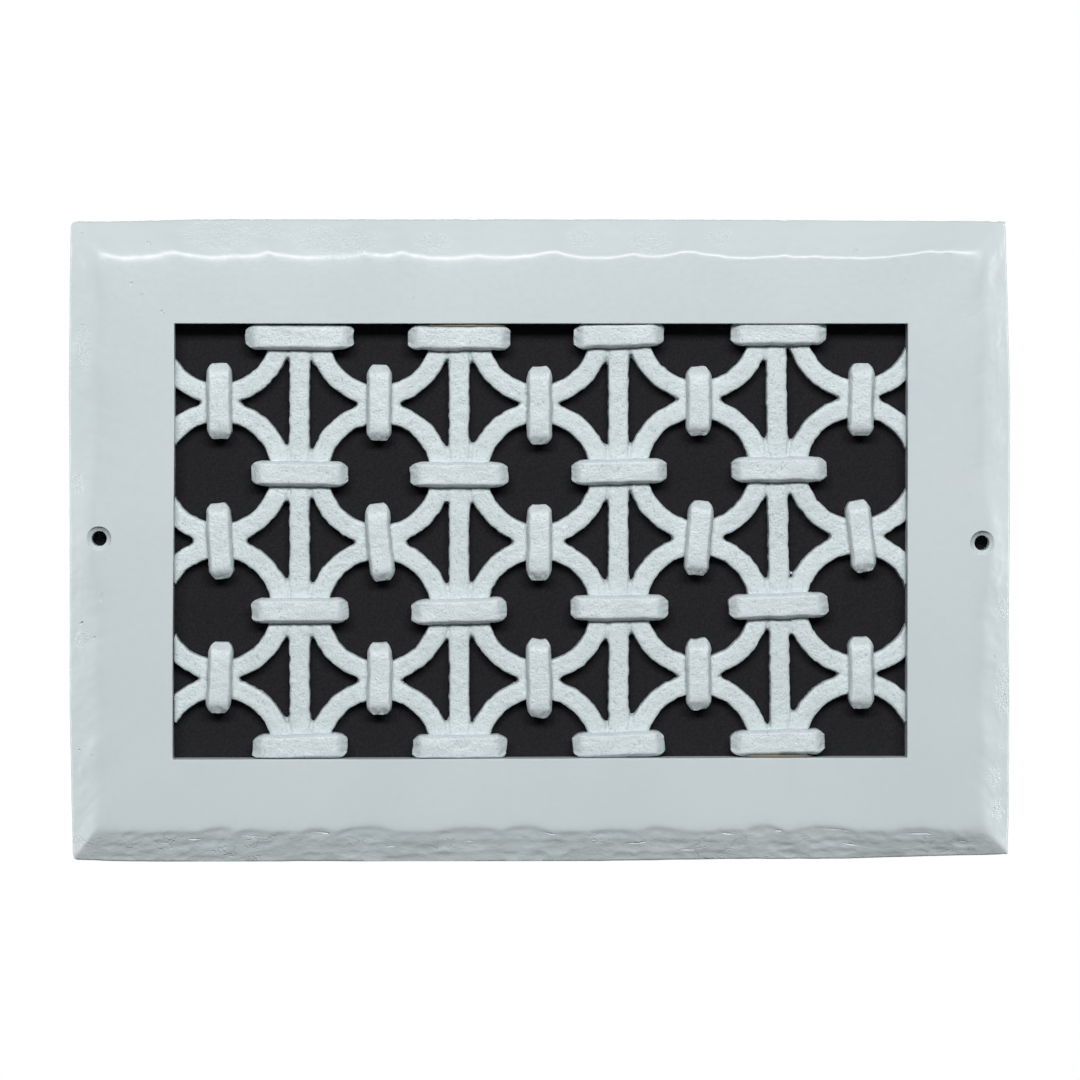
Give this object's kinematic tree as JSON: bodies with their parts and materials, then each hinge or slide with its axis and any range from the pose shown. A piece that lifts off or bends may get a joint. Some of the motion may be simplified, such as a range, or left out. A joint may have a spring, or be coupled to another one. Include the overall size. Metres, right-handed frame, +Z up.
{
  "type": "decorative vent cover",
  "caption": "Rectangular cast vent cover with a chiselled bevelled frame and a grille of interlaced hoops, bars and collars over a black cloth backing.",
  "frame": {"origin": "middle of the cover's back, in the plane of the wall that it is screwed to", "axes": "+X along the width, +Y into the wall, +Z up; the carved face looks along -Y"},
  "size_m": [0.3263, 0.012, 0.2228],
  "materials": {
    "cast_frame_paint": "cast resin painted a cool white, satin, smooth on the flat and lightly pitted on the chiselled edge",
    "cast_grille_paint": "cast resin painted a cool white, satin, with a fine sandy grain on hoops and bars and smoother collars",
    "black_cloth": "thin black cloth with a fine mottled weave, matt"
  },
  "bodies": {
    "root": {"frame": "cast_frame_paint", "grille": "cast_grille_paint", "backing_cloth": "black_cloth"}
  },
  "joints": []
}
